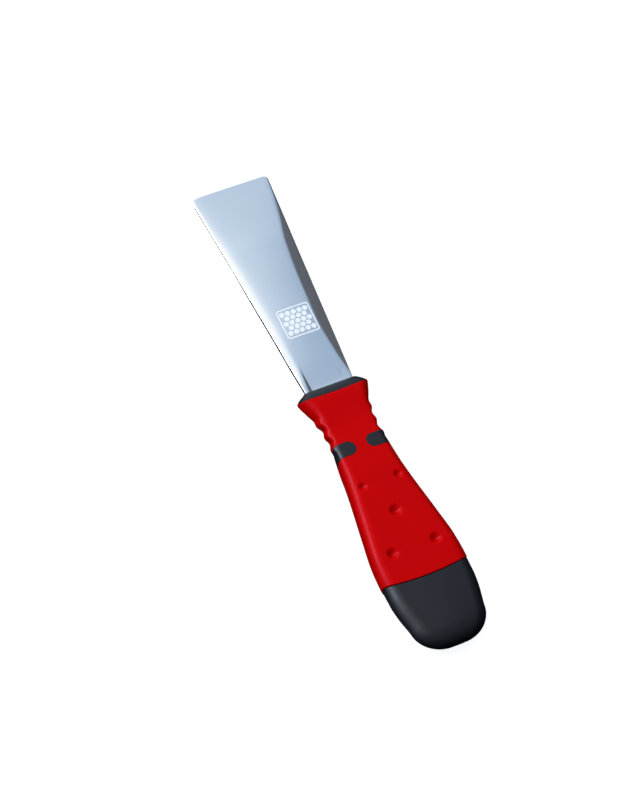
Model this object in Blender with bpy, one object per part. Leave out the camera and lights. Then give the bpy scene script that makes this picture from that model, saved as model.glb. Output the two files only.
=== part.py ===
"""Hive tool: a flared scraper blade with folded flanks in a two-part core, with a soft grip sleeve.

Metres. +X points to the cutting edge, +Y across the tool, +Z out of its upper face.
The origin is the middle of the tool's footprint, on the plane that it lies on.
"""

import math

import bmesh
import bpy
import numpy as np

# Driving dimensions
LENGTH = 0.225
TIP_X = LENGTH / 2
BUTT_X = -LENGTH / 2
GAP = 0.0003

# Handle
HALF_HEIGHT = 0.0063
MID_Z = HALF_HEIGHT
SHOULDER = 0.0042
WALL = 0.0024
LIP_X = 0.0076
LIP_BOW = 0.0034
NECK_END_X = -0.0200
SEAM_X = -0.0799
SEAM_BOW = 0.0047
HALF_WIDTHS = (
    (0.0105, 0.0165),
    (0.0076, 0.0158),
    (0.0030, 0.0139),
    (-0.0020, 0.0118),
    (-0.0075, 0.0108),
    (-0.0160, 0.0106),
    (-0.0235, 0.0114),
    (-0.0375, 0.0130),
    (-0.0575, 0.0161),
    (-0.0700, 0.0179),
    (-0.0810, 0.0186),
    (-0.0870, 0.0186),
    (-0.0925, 0.0181),
    (-0.1020, 0.0162),
    (BUTT_X, 0.0148),
)
HALF_HEIGHTS = (
    (0.0105, HALF_HEIGHT),
    (0.0040, HALF_HEIGHT),
    (-0.0090, 0.0056),
    (-0.0200, 0.0060),
    (-0.0340, HALF_HEIGHT),
    (-0.0860, HALF_HEIGHT),
    (-0.1000, 0.0061),
    (-0.1080, 0.0056),
)
BUTT_HALF_WIDTH = 0.0040
BUTT_HALF_HEIGHT = 0.0012
BUTT_ROUND_WIDE = 0.0100
BUTT_ROUND_TALL = 0.0075
BUTT_STEPS = 9
INNER_ROUND = 0.0010

# How far the section is an ellipse rather than a rounded rectangle
ROUNDNESS = (
    (0.0080, 0.7),
    (0.0, 0.6),
    (-0.0140, 0.4),
    (-0.0300, 0.0),
    (-0.0680, 0.0),
    (-0.0850, 0.3),
    (-0.1125, 0.6),
)

# Finger ribs down both sides of the neck, which lean back and fade out towards its upper face
RIB_FRONT_X = -0.0008
RIB_PITCH = 0.0056
RIB_COUNT = 3
RIB_HEIGHT = 0.0009
RIB_LEAN = 0.74

# Dimples in both faces of the sleeve: x, y from the centre line, radius of the mouth
DIMPLES = ((-0.0388, 0.0078, 0.0018), (-0.0532, 0.0, 0.0028), (-0.0702, 0.0094, 0.0025))
DIMPLE_DEPTH = 0.0011

# Side inlays
INLAY_X = -0.0203
INLAY_WIDTH = 0.0064
INLAY_INNER_Y = 0.0026
INLAY_PEG_RADIUS = 0.0012
INLAY_PEG_DEPTH = 0.0022
INLAY_PEG_ROOT = 0.0010
INLAY_PROUD = 0.0001

# Pommel cap and the spigot that it snaps on
SEAM_STEP = 0.00025
SPIGOT_END_X = -0.1010
BEAD_X = -0.0925
BEAD_HALF_WIDTH = 0.0070
BEAD_RADIUS = 0.0009
BEAD_SINK = 0.0003

# Bolster
BOLSTER_FRONT_X = 0.0105
BOLSTER_FRONT_HALF_WIDTH = 0.0118
BOLSTER_FRONT_HALF_HEIGHT = 0.0027
BOLSTER_FRONT_ROUND = 0.0022
BOLSTER_EDGE_ROUND = 0.0005
BOLSTER_SWELL = 0.12
BOLSTER_SHARES = (0.08, 0.45, 1.0)
CORE_FRONT_X = 0.0

# Blade
BLADE_THICK = 0.0015
EDGE_THICK = 0.0005
EDGE_GRIND = 0.0040
TIP_HALF_WIDTH = 0.0175
ROOT_HALF_WIDTH = 0.0106
CORNER_RADIUS = 0.0020
FLANK_SLOPE = math.tan(math.radians(17))
FLANK_SOFTNESS = 0.0006
ARCH_SHARE = 0.10
BLADE_TILT = math.radians(2.5)
BEND_FRONT_X = 0.0085
BEND_REAR_X = 0.0010
BLADE_SHOULDER_X = 0.0085
TANG_HALF_WIDTH = 0.0052
TANG_START_X = 0.0050
TANG_END_X = -0.0680

# Width of the flanks that fold down along the blade's long sides
FLANK_WIDTHS = (
    (TIP_X, 0.0),
    (0.1040, 0.0008),
    (0.0920, 0.0022),
    (0.0800, 0.0042),
    (0.0620, 0.0051),
    (0.0420, 0.0050),
    (0.0260, 0.0030),
    (0.0120, 0.0),
)

# Tang rivets
RIVET_XS = (-0.0120, -0.0350, -0.0580)
RIVET_NAMES = ("front_tang_rivet", "middle_tang_rivet", "rear_tang_rivet")
RIVET_RADIUS = 0.0020
RIVET_HEAD_RADIUS = 0.0034
RIVET_HEAD_DEPTH = 0.0010
RIVET_SINK = 0.0001

# Half sizes of the cutters and limits, well past the tool
CUTTER_X = 0.20
CUTTER_Y = 0.025
CUTTER_Z = 0.012


def clear_scene():
    for obj in list(bpy.data.objects):
        bpy.data.objects.remove(obj, do_unlink=True)


def material(name, colour, roughness, metallic=0.0):
    made = bpy.data.materials.new(name)
    made.use_nodes = True
    shader = made.node_tree.nodes["Principled BSDF"]
    shader.inputs["Base Color"].default_value = (*colour, 1.0)
    shader.inputs["Roughness"].default_value = roughness
    shader.inputs["Metallic"].default_value = metallic
    return made


def add_object(name, bm, mat):
    bmesh.ops.recalc_face_normals(bm, faces=bm.faces)
    mesh = bpy.data.meshes.new(name)
    bm.to_mesh(mesh)
    bm.free()
    obj = bpy.data.objects.new(name, mesh)
    bpy.context.scene.collection.objects.link(obj)
    if mat is not None:
        mesh.materials.append(mat)
    mesh.shade_smooth()
    mesh.set_sharp_from_angle(angle=math.radians(35))
    return obj


def helper(obj):
    """Marks an object that only cuts or limits another."""
    obj.hide_render = True
    obj.display_type = "WIRE"
    return obj


def boolean(obj, other, operation):
    modifier = obj.modifiers.new(operation.title(), "BOOLEAN")
    modifier.operation = operation
    modifier.object = other
    modifier.solver = "EXACT"


# Curves through design points


def smooth(points, x):
    """A monotone cubic through (x, value) points that run from high x to low x."""
    xs = np.array([p[0] for p in points][::-1])
    ys = np.array([p[1] for p in points][::-1])
    x = min(max(x, xs[0]), xs[-1])
    step = np.diff(xs)
    slope = np.diff(ys) / step
    tangent = np.zeros(len(xs))
    for i in range(1, len(xs) - 1):
        if slope[i - 1] * slope[i] > 0:
            tangent[i] = 2 * slope[i - 1] * slope[i] / (slope[i - 1] + slope[i])
    tangent[0] = slope[0]
    tangent[-1] = slope[-1]
    i = min(int(np.searchsorted(xs, x, side="right")) - 1, len(xs) - 2)
    t = (x - xs[i]) / step[i]
    value = (2 * t**3 - 3 * t**2 + 1) * ys[i] + (3 * t**2 - 2 * t**3) * ys[i + 1]
    value += (t**3 - 2 * t**2 + t) * step[i] * tangent[i]
    value += (t**3 - t**2) * step[i] * tangent[i + 1]
    return float(value)


def rounded_end(x, full, end, reach):
    """Closes a size from full to end over the last reach before the butt, as a quarter ellipse."""
    t = min(max((BUTT_X + reach - x) / reach, 0.0), 1.0)
    return end + (full - end) * math.sqrt(1 - t * t)


def rib(x, z):
    """Height of the finger ribs at x, and z from the mid plane, zero outside their stretch."""
    t = (RIB_FRONT_X - RIB_LEAN * z - x) / RIB_PITCH
    if not 0 < t < RIB_COUNT:
        return 0.0
    return RIB_HEIGHT * math.sin(math.pi * t) ** 2


def half_width(x):
    return rounded_end(x, smooth(HALF_WIDTHS, x), BUTT_HALF_WIDTH, BUTT_ROUND_WIDE)


def half_height(x):
    return rounded_end(x, smooth(HALF_HEIGHTS, x), BUTT_HALF_HEIGHT, BUTT_ROUND_TALL)


# Sections of the handle: rounded rectangles with the same points all along

CORNER_STEPS = 5
TOP_STEPS = 8
SIDE_STEPS = 2
MOST_ROUND = 0.98


def section(wide, tall, round_, ellipse=0.0):
    """(y, z) round a rectangle of half sizes wide and tall, from its +Y side anticlockwise.

    ellipse draws it in towards the ellipse of the same half sizes, fully at 1.
    """
    round_ = min(round_, wide * MOST_ROUND, tall * MOST_ROUND)
    points = []
    for quarter in range(4):
        side_y = 1 if quarter in (0, 3) else -1
        side_z = 1 if quarter in (0, 1) else -1
        for i in range(CORNER_STEPS + 1):
            angle = (quarter + i / CORNER_STEPS) * math.pi / 2
            y = side_y * (wide - round_) + round_ * math.cos(angle)
            z = side_z * (tall - round_) + round_ * math.sin(angle)
            points.append((y, z))
        steps = TOP_STEPS if quarter in (0, 2) else SIDE_STEPS
        y, z = points[-1]
        for i in range(1, steps):
            if quarter in (0, 2):
                points.append((y * (1 - 2 * i / steps), z))
            else:
                points.append((y, z * (1 - 2 * i / steps)))
    shares = [1 + ellipse * (1 / math.hypot(y / wide, z / tall) - 1) for y, z in points]
    return [(y * share, z * share) for (y, z), share in zip(points, shares)]


def handle_ring(x, bow=0.0, inset=0.0, ribs=False):
    """A ring on the handle's surface, inset along its normal. Its middle lies bow behind its sides."""

    def at(place):
        wide = half_width(place) - inset
        tall = half_height(place) - inset
        round_ = max(SHOULDER - inset, INNER_ROUND)
        points = section(wide, tall, round_, smooth(ROUNDNESS, place))
        if not ribs:
            return points
        fades = [(1 - (z / tall) ** 2) ** 2 for _, z in points]
        return [
            (y + math.copysign(rib(place, z) * fade, y), z) for (y, z), fade in zip(points, fades)
        ]

    first = at(x)
    widest = max(y for y, _ in first)
    ring = []
    for i, (y, _) in enumerate(first):
        place = x - bow * (1 - (y / widest) ** 2)
        y, z = at(place)[i]
        ring.append((place, y, MID_Z + z))
    return ring


def stations(front, rear, front_bow, rear_bow, count):
    """(x, bow) pairs from one end of a stretch to the other."""
    for i in range(count):
        t = i / (count - 1)
        yield front + (rear - front) * t, front_bow + (rear_bow - front_bow) * t


def bridge(bm, rings, cap_first, cap_last):
    loops = [[bm.verts.new(point) for point in ring] for ring in rings]
    for a, b in zip(loops, loops[1:]):
        for i in range(len(a)):
            j = (i + 1) % len(a)
            bm.faces.new((a[i], a[j], b[j], b[i]))
    if cap_first:
        bm.faces.new(loops[0][::-1])
    if cap_last:
        bm.faces.new(loops[-1])
    return loops


def solid_of_rings(rings):
    bm = bmesh.new()
    bridge(bm, rings, True, True)
    return bm


def box(name, low, high):
    bm = bmesh.new()
    bmesh.ops.create_cube(bm, size=1.0)
    for vert in bm.verts:
        vert.co = [a + (b - a) * (c + 0.5) for a, b, c in zip(low, high, vert.co)]
    return helper(add_object(name, bm, None))


def turned(name, profile, centre, axis, mat=None, steps=24):
    """Spins a (distance along the axis, radius) profile into a closed solid about axis Y or Z."""
    rings = []
    for along, radius in profile:
        ring = []
        for i in range(steps):
            a = math.cos(2 * math.pi * i / steps) * radius
            b = math.sin(2 * math.pi * i / steps) * radius
            offset = (a, b, along) if axis == "Z" else (b, along, a)
            ring.append([c + o for c, o in zip(centre, offset)])
        rings.append(ring)
    return add_object(name, solid_of_rings(rings), mat)


# Blade


def blade_line(x):
    """Height of the blade's middle surface over the mid plane: level in the core, then tilted up."""
    if x <= BEND_REAR_X:
        return 0.0
    bend = BEND_FRONT_X - BEND_REAR_X
    if x >= BEND_FRONT_X:
        return math.tan(BLADE_TILT) * (x - BEND_FRONT_X + bend / 2)
    return math.tan(BLADE_TILT) * (x - BEND_REAR_X) ** 2 / (2 * bend)


def blade_half_width(x):
    if x <= TANG_START_X:
        return TANG_HALF_WIDTH
    if x < BLADE_SHOULDER_X:
        t = (x - TANG_START_X) / (BLADE_SHOULDER_X - TANG_START_X)
        return TANG_HALF_WIDTH + (ROOT_HALF_WIDTH - TANG_HALF_WIDTH) * math.sin(t * math.pi / 2)
    t = max(x - BOLSTER_FRONT_X, 0.0) / (TIP_X - BOLSTER_FRONT_X)
    width = ROOT_HALF_WIDTH + (TIP_HALF_WIDTH - ROOT_HALF_WIDTH) * t
    past = x - (TIP_X - CORNER_RADIUS)
    if past > 0:
        width += math.sqrt(max(CORNER_RADIUS**2 - past**2, 0.0)) - CORNER_RADIUS
    return width


def blade_crown(x, y):
    """Height of the blade's face at x, y over the level of its long edges: arched, with folded flanks."""
    width = smooth(FLANK_WIDTHS, x)
    wide = blade_half_width(x)

    def drop(over):
        return FLANK_SLOPE * (over + math.hypot(over, FLANK_SOFTNESS)) / 2

    arch = ARCH_SHARE * width * (1 - (y / wide) ** 2)
    return arch + drop(width) - drop(abs(y) - (wide - width))


def blade_thickness(x):
    t = min(max((TIP_X - x) / EDGE_GRIND, 0.0), 1.0)
    return EDGE_THICK + (BLADE_THICK - EDGE_THICK) * t


def blade_stations():
    tang = [TANG_END_X, BEND_REAR_X]
    root = np.linspace(BEND_REAR_X, BOLSTER_FRONT_X, 9)[1:]
    body = np.linspace(BOLSTER_FRONT_X, TIP_X - EDGE_GRIND, 18)[1:]
    corner = [TIP_X - CORNER_RADIUS * (1 - math.sin(i * math.pi / 10)) for i in range(6)]
    return [*tang, *root, *body, *corner]


def blade_mesh(places, spare=0.0, across=16):
    """The blade's closed surface over the x places, grown by spare on all sides but its ends."""
    rings = []
    for x in places:
        wide = blade_half_width(x)
        top = MID_Z + blade_line(x) + BLADE_THICK / 2 + spare
        thick = blade_thickness(x) + 2 * spare
        upper = []
        lower = []
        for i in range(across + 1):
            share = 2 * i / across - 1
            z = top + blade_crown(x, wide * share)
            upper.append((x, (wide + spare) * share, z))
            lower.append((x, (wide + spare) * share, z - thick))
        rings.append(upper + lower[::-1])
    return solid_of_rings(rings)


def build_blade(steel):
    blade = add_object("blade", blade_mesh(blade_stations()), steel)
    for name, x in zip(RIVET_NAMES, RIVET_XS):
        reach = BLADE_THICK
        profile = ((-reach, RIVET_RADIUS + GAP), (reach, RIVET_RADIUS + GAP))
        hole = helper(turned(name + "_tang_hole", profile, (x, 0, MID_Z), "Z"))
        boolean(blade, hole, "DIFFERENCE")


# Core halves and their rivets


def core_half_depth(x):
    return half_height(x) - WALL - GAP


def build_rivets(metal):
    for name, x in zip(RIVET_NAMES, RIVET_XS):
        reach = core_half_depth(x) - RIVET_SINK
        inner = reach - RIVET_HEAD_DEPTH
        profile = (
            (-reach, RIVET_HEAD_RADIUS),
            (-inner, RIVET_HEAD_RADIUS),
            (-inner, RIVET_RADIUS),
            (inner, RIVET_RADIUS),
            (inner, RIVET_HEAD_RADIUS),
            (reach, RIVET_HEAD_RADIUS),
        )
        turned(name, profile, (x, 0, MID_Z), "Z", metal)


def rivet_clearance(name, x):
    """The hole and both counterbores that a rivet needs in the core."""
    inner = core_half_depth(x) - RIVET_SINK - RIVET_HEAD_DEPTH - GAP
    outer = HALF_HEIGHT
    head = RIVET_HEAD_RADIUS + GAP
    shank = RIVET_RADIUS + GAP
    profile = (
        (-outer, head),
        (-inner, head),
        (-inner, shank),
        (inner, shank),
        (inner, head),
        (outer, head),
    )
    return helper(turned(name + "_clearance", profile, (x, 0, MID_Z), "Z"))


def build_core(plastic):
    inset = WALL + GAP
    half_gap = GAP / 2
    tang_places = [TANG_END_X - GAP, *np.linspace(BEND_REAR_X, BLADE_SHOULDER_X, 6)]
    tang_room = helper(add_object("tang_room", blade_mesh(tang_places, GAP, 2), None))
    rivet_rooms = [rivet_clearance(*pair) for pair in zip(RIVET_NAMES, RIVET_XS)]
    peg_rooms = []
    for side in (-1, 1):
        outer = half_width(INLAY_X) - WALL
        profile = (
            (outer - INLAY_PEG_DEPTH - 2 * GAP, INLAY_PEG_RADIUS + GAP),
            (outer + WALL, INLAY_PEG_RADIUS + GAP),
        )
        if side < 0:
            profile = tuple((-along, radius) for along, radius in profile[::-1])
        room = turned(f"peg_room_{side}", profile, (INLAY_X, 0, MID_Z), "Y")
        peg_rooms.append(helper(room))
    for name, side in (("upper_core_shell", 1), ("lower_core_shell", -1)):
        rings = [
            handle_ring(x, inset=inset)
            for x, _ in stations(CORE_FRONT_X, SPIGOT_END_X, 0, 0, 24)
        ]
        core = add_object(name, solid_of_rings(rings), plastic)
        low = MID_Z - (CUTTER_Z if side > 0 else half_gap)
        high = MID_Z + (half_gap if side > 0 else CUTTER_Z)
        limits = (-CUTTER_X, -CUTTER_Y, low), (CUTTER_X, CUTTER_Y, high)
        boolean(core, box(name + "_other_half", *limits), "DIFFERENCE")
        bead_z = MID_Z + side * (core_half_depth(BEAD_X) - BEAD_SINK)
        reach = BEAD_HALF_WIDTH
        profile = ((-reach, BEAD_RADIUS), (reach, BEAD_RADIUS))
        bead = helper(turned(name + "_bead", profile, (BEAD_X, 0, bead_z), "Y", steps=16))
        boolean(core, bead, "UNION")
        for room in [tang_room, *rivet_rooms, *peg_rooms]:
            boolean(core, room, "DIFFERENCE")


# Bolster


def bolster_front(inset):
    """The ring of the bolster's front face, round the blade."""
    wide = BOLSTER_FRONT_HALF_WIDTH - inset
    tall = BOLSTER_FRONT_HALF_HEIGHT - inset
    level = MID_Z + blade_line(BOLSTER_FRONT_X)
    outline = section(wide, tall, BOLSTER_FRONT_ROUND)
    return [(BOLSTER_FRONT_X, y, level + z) for y, z in outline]


def build_bolster(plastic):
    front = bolster_front(0.0)
    rim = handle_ring(LIP_X + GAP, LIP_BOW, GAP)
    rings = [bolster_front(BOLSTER_EDGE_ROUND)]
    for along in BOLSTER_SHARES:
        out = along + BOLSTER_SWELL * math.sin(math.pi * along)
        parts = (along, out, out)
        rings.append(
            [tuple(a + (b - a) * part for a, b, part in zip(*ends, parts)) for ends in zip(front, rim)]
        )
    rings.append(handle_ring(LIP_X + GAP, LIP_BOW, WALL + GAP))
    rings.append(handle_ring(CORE_FRONT_X + GAP, 0.0, WALL + GAP))
    bolster = add_object("bolster", solid_of_rings(rings), plastic)
    places = np.linspace(CORE_FRONT_X - WALL, BOLSTER_FRONT_X + WALL, 12)
    room = helper(add_object("blade_room", blade_mesh(places, GAP, 2), None))
    boolean(bolster, room, "DIFFERENCE")


# Grip sleeve, side inlays and pommel cap


def sleeve_rings(outer_inset, front, front_bow, rear, rear_bow, count, ribs):
    return [
        handle_ring(x, bow, outer_inset, ribs)
        for x, bow in stations(front, rear, front_bow, rear_bow, count)
    ]


def tube_of_rings(outer, inner):
    """A tube from outer rings, back along inner rings, joined at both ends."""
    bm = bmesh.new()
    loops = bridge(bm, [*outer, *inner[::-1]], False, False)
    first, last = loops[0], loops[-1]
    for i in range(len(first)):
        j = (i + 1) % len(first)
        bm.faces.new((last[i], last[j], first[j], first[i]))
    return bm


def inlay_prism(name, side, spare):
    """A slot-shaped prism through the sleeve, round at its end near the centre line."""
    radius = INLAY_WIDTH / 2 + spare
    centre_y = INLAY_INNER_Y + INLAY_WIDTH / 2
    outline = []
    for i in range(13):
        angle = math.pi * i / 12
        outline.append((math.cos(angle) * radius, centre_y - math.sin(angle) * radius))
    outline += [(-radius, CUTTER_Y), (radius, CUTTER_Y)]
    rings = []
    for z in (MID_Z - CUTTER_Z, MID_Z + CUTTER_Z):
        rings.append([(INLAY_X + x, side * y, z) for x, y in outline])
    return helper(add_object(name, solid_of_rings(rings), None))


def build_sleeve(rubber):
    neck = sleeve_rings(0.0, LIP_X, LIP_BOW, NECK_END_X, 0.0, 22, True)
    grip = sleeve_rings(0.0, NECK_END_X, 0.0, SEAM_X, SEAM_BOW, 14, True)
    outer = [*neck, *grip[1:]]
    inner = sleeve_rings(WALL, LIP_X, LIP_BOW, SEAM_X, SEAM_BOW, 16, False)
    sleeve = add_object("grip_sleeve", tube_of_rings(outer, inner), rubber)
    for side in (-1, 1):
        boolean(sleeve, inlay_prism(f"inlay_window_{side}", side, 0.0), "DIFFERENCE")
    for x, y, mouth in DIMPLES:
        radius = (mouth**2 + DIMPLE_DEPTH**2) / (2 * DIMPLE_DEPTH)
        for face in (-1, 1):
            for across in {-y, y}:
                bm = bmesh.new()
                bmesh.ops.create_uvsphere(bm, u_segments=16, v_segments=12, radius=radius)
                pit = helper(add_object("dimple_pit", bm, None))
                height = smooth(HALF_HEIGHTS, x) + radius - DIMPLE_DEPTH
                pit.location = (x, across, MID_Z + face * height)
                boolean(sleeve, pit, "DIFFERENCE")


def build_inlays(plastic):
    front = INLAY_X + INLAY_WIDTH
    rear = INLAY_X - INLAY_WIDTH
    for name, side in (("left_inlay", 1), ("right_inlay", -1)):
        outer = sleeve_rings(-INLAY_PROUD, front, 0, rear, 0, 12, False)
        inner = sleeve_rings(WALL, front, 0, rear, 0, 12, False)
        inlay = add_object(name, tube_of_rings(outer, inner), plastic)
        boolean(inlay, inlay_prism(name + "_outline", side, -GAP), "INTERSECT")
        outside = half_width(INLAY_X) - WALL
        tip = outside - INLAY_PEG_DEPTH
        profile = ((tip, INLAY_PEG_RADIUS), (outside + INLAY_PEG_ROOT, INLAY_PEG_RADIUS))
        if side < 0:
            profile = tuple((-along, radius) for along, radius in profile[::-1])
        peg = helper(turned(name + "_peg", profile, (INLAY_X, 0, MID_Z), "Y", steps=16))
        boolean(inlay, peg, "UNION")


def build_pommel(plastic):
    seam = SEAM_X - GAP
    places = list(stations(seam, BUTT_X + BUTT_ROUND_WIDE, SEAM_BOW, 0.0, 9))
    for i in range(1, BUTT_STEPS + 1):
        angle = i * math.pi / (2 * BUTT_STEPS)
        places.append((BUTT_X + BUTT_ROUND_WIDE * (1 - math.sin(angle)), 0.0))
    outer = [handle_ring(x, bow, SEAM_STEP) for x, bow in places]
    room_places = stations(seam, SPIGOT_END_X - GAP, SEAM_BOW, 0.0, 7)
    inner = [handle_ring(x, bow, WALL) for x, bow in room_places]
    bm = bmesh.new()
    loops = bridge(bm, [*outer[::-1], *inner], True, True)
    cap = add_object("pommel_cap", bm, plastic)
    reach = BEAD_HALF_WIDTH + GAP
    for side in (-1, 1):
        bead_z = MID_Z + side * (core_half_depth(BEAD_X) - BEAD_SINK)
        profile = ((-reach, BEAD_RADIUS + GAP), (reach, BEAD_RADIUS + GAP))
        groove = helper(turned(f"bead_room_{side}", profile, (BEAD_X, 0, bead_z), "Y", steps=16))
        boolean(cap, groove, "DIFFERENCE")


def main():
    clear_scene()
    steel = material("polished_steel", (0.62, 0.66, 0.70), 0.18, 1.0)
    rivet_metal = material("rivet_aluminium", (0.80, 0.80, 0.80), 0.40, 1.0)
    red = material("red_soft_grip", (0.52, 0.0, 0.0), 0.45)
    black = material("black_moulded_plastic", (0.025, 0.028, 0.032), 0.45)
    build_blade(steel)
    build_rivets(rivet_metal)
    build_core(black)
    build_bolster(black)
    build_sleeve(red)
    build_inlays(black)
    build_pommel(black)


main()
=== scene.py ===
"""Looks of the hive tool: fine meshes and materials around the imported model, light, floor and camera.

Metres, in the CAD frame: +X to the cutting edge, +Y across, +Z up, lying on z = 0.
"""

import functools
import math

import bmesh
import bpy
import numpy as np
from mathutils import Matrix, Vector


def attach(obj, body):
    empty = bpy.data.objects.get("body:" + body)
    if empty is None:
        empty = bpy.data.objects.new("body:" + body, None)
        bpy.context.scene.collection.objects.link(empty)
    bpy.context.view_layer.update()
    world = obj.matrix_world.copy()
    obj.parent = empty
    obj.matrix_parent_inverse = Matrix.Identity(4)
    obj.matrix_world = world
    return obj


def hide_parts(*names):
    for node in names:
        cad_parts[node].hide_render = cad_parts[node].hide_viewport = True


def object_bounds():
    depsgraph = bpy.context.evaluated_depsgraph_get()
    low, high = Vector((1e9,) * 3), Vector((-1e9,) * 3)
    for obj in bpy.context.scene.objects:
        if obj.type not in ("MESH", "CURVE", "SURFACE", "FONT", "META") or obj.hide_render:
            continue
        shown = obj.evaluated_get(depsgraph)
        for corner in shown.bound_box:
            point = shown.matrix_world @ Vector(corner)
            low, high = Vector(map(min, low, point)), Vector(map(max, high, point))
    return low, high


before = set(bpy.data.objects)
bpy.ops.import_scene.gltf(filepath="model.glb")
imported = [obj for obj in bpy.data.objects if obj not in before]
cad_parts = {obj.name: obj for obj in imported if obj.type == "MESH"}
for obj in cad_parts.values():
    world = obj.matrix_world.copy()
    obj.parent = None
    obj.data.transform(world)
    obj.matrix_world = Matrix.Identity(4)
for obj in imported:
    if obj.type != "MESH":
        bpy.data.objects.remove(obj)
cad_low, cad_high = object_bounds()

MM = 0.001
GAP = 0.3 * MM

# The handle's surface. Each table holds (x, value) from the tip's end to the butt's.
TIP_X = cad_high.x
BUTT_X = cad_low.x
HALF_HEIGHT = 6.3 * MM
MID_Z = HALF_HEIGHT
# Radius of the long edges of the handle's section, and its limits
LEAST_SHOULDER = 1.0 * MM
MOST_ROUND = 0.98
SHOULDERS = (
    (10.5 * MM, 2.8 * MM),
    (3.0 * MM, 4.6 * MM),
    (-3.0 * MM, 3.4 * MM),
    (-8.0 * MM, 1.9 * MM),
    (-16.0 * MM, 1.9 * MM),
    (-34.0 * MM, 4.2 * MM),
    (BUTT_X, 4.2 * MM),
)
WALL = 2.4 * MM
# A cut across the handle has a skew (bow, lean): its middle lies bow behind its sides, and it
# leans back by lean times the height above or below the mid plane, rounded over LEAN_ROUND
LIP_X = 7.75 * MM
LIP_SKEW = (0.45 * MM, 0.40)
NECK_END_X = -15.6 * MM
NECK_STEP = 0.5 * MM
SEAM_X = -80.6 * MM
SEAM_SKEW = (1.55 * MM, 0.25)
SQUARE = (0.0, 0.0)
LEAN_ROUND = 1.0 * MM
HALF_WIDTHS = (
    (10.5 * MM, 16.5 * MM),
    (7.6 * MM, 15.8 * MM),
    (3.0 * MM, 14.1 * MM),
    (-2.0 * MM, 12.0 * MM),
    (-7.5 * MM, 10.6 * MM),
    (-16.0 * MM, 10.2 * MM),
    (-19.5 * MM, 10.85 * MM),
    (-24.0 * MM, 11.4 * MM),
    (-37.5 * MM, 13.0 * MM),
    (-57.5 * MM, 16.1 * MM),
    (-70.0 * MM, 17.9 * MM),
    (-81.0 * MM, 18.6 * MM),
    (-87.0 * MM, 18.6 * MM),
    (-92.5 * MM, 18.1 * MM),
    (-102.0 * MM, 16.2 * MM),
    (BUTT_X, 14.8 * MM),
)
HALF_HEIGHTS = (
    (10.5 * MM, HALF_HEIGHT),
    (4.0 * MM, HALF_HEIGHT),
    (-9.0 * MM, 5.6 * MM),
    (-20.0 * MM, 6.0 * MM),
    (-34.0 * MM, HALF_HEIGHT),
    (-86.0 * MM, HALF_HEIGHT),
    (-100.0 * MM, 6.1 * MM),
    (-108.0 * MM, 5.6 * MM),
)
# How far the section is drawn in towards its ellipse above and below the mid plane
UPPER_ROUNDNESS = (
    (9.5 * MM, 0.35),
    (3.0 * MM, 0.10),
    (-4.0 * MM, 0.0),
    (-68.0 * MM, 0.0),
    (-85.0 * MM, 0.3),
    (BUTT_X, 0.6),
)
LOWER_ROUNDNESS = (
    (8.0 * MM, 1.0),
    (0.0, 0.90),
    (-14.0 * MM, 0.67),
    (-30.0 * MM, 0.0),
    (-68.0 * MM, 0.0),
    (-85.0 * MM, 0.3),
    (BUTT_X, 0.6),
)
# How far the neck stands to one side
SWAY = (
    (TIP_X, 0.10 * MM),
    (60.0 * MM, 0.30 * MM),
    (12.0 * MM, 0.65 * MM),
    (5.0 * MM, 0.65 * MM),
    (-1.0 * MM, 0.50 * MM),
    (-9.0 * MM, 0.20 * MM),
    (-15.0 * MM, 0.03 * MM),
    (-19.0 * MM, -0.10 * MM),
    (-24.0 * MM, 0.0),
    (BUTT_X, 0.0),
)
BUTT_HALF_WIDTH = 4.0 * MM
BUTT_HALF_HEIGHT = 1.2 * MM
BUTT_ROUND_WIDE = 10.0 * MM
BUTT_ROUND_TALL = 7.5 * MM

# Finger ribs down both sides of the neck, at full height up to RIB_FULL of the half height
RIB_FRONT_X = -1.25 * MM
RIB_PITCH = 6.05 * MM
RIB_COUNT = 3
RIB_HEIGHT = 0.8 * MM
RIB_LEAN = 0.31
RIB_FULL = 0.70

# Dimples in both faces: x, y from the centre line, radius of the mouth. Those with mouths under
# DIMPLE_FULL are shallower, and the deepest point lies DIMPLE_SHIFT of the radius to one side.
DIMPLES = (
    (-38.8 * MM, 7.8 * MM, 2.1 * MM),
    (-53.2 * MM, 0.0, 3.0 * MM),
    (-70.2 * MM, 9.4 * MM, 2.8 * MM),
)
DIMPLE_DEPTH = 1.9 * MM
DIMPLE_SHIFT = 0.28
DIMPLE_FULL = 2.8 * MM
DIMPLE_FLOOR = 0.05
FACE_DEPTH = 0.4 * MM

# Side inlays: their round inner ends lie INLAY_INNER_YS from the centre line
INLAY_X = -20.9 * MM
INLAY_WIDTH = 6.4 * MM
INLAY_INNER_YS = {1: 2.55 * MM, -1: 2.25 * MM}
INLAY_GAP = 0.10 * MM
INLAY_PROUD = 0.05 * MM
INLAY_EDGE = 0.25 * MM
INLAY_ROOM_EDGE = 0.30 * MM
# The prisms that cut the inlays out, and how near their walls an edge counts as cut
CUT_HALF_WIDTH = 25 * MM
CUT_HALF_HEIGHT = 12 * MM
CUT_NEAR = 0.05 * MM

# Lip, seam and pommel cap
JOINT_GAP = 0.12 * MM
LIP_STEP = 0.15 * MM
SEAM_STEP = 0.25 * MM
SPIGOT_END_X = -101.0 * MM
EDGE_ROUND = 0.45 * MM

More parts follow.
